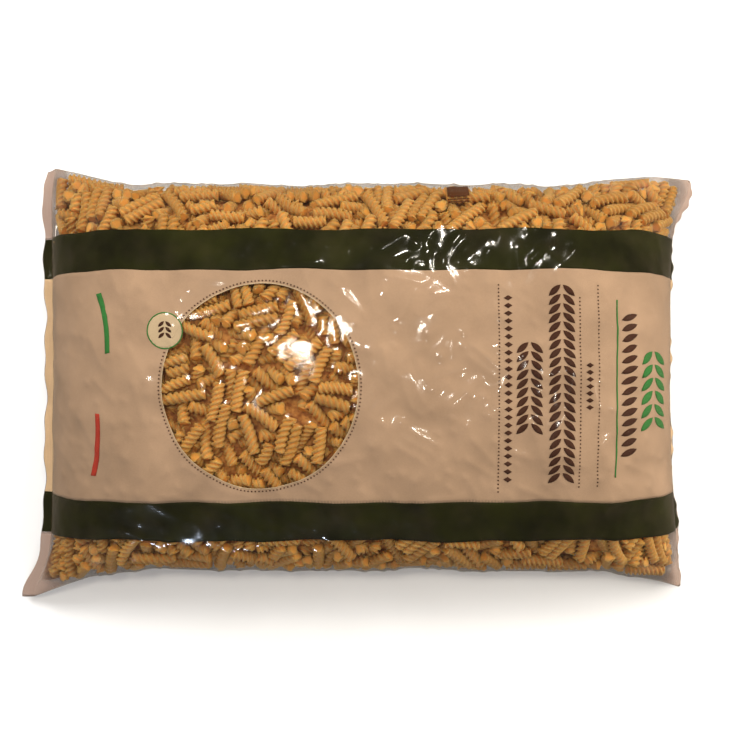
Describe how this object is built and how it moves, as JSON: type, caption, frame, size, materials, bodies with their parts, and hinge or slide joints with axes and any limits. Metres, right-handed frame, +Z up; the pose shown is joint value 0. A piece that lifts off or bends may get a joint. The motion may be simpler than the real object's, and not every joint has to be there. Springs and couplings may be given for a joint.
{
  "type": "pasta packet",
  "caption": "Large sealed film bag of dry spiral pasta lying on its back, with a plain printed panel, two dark bands, a round clear window and crimped end seals.",
  "frame": {"origin": "centre of the bag's outline, on the surface that the bag lies on", "axes": "+Z up through the printed front, +X along the bag towards the end that carries the title block, +Y across the bag"},
  "size_m": [0.6082, 0.3852, 0.1103],
  "materials": {
    "film": "clear glossy film over golden pasta",
    "panel_print": "beige print under gloss",
    "band_print": "dark green print under gloss",
    "pasta": "dry durum pasta"
  },
  "bodies": {
    "root": {"bag": "film"}
  },
  "joints": []
}
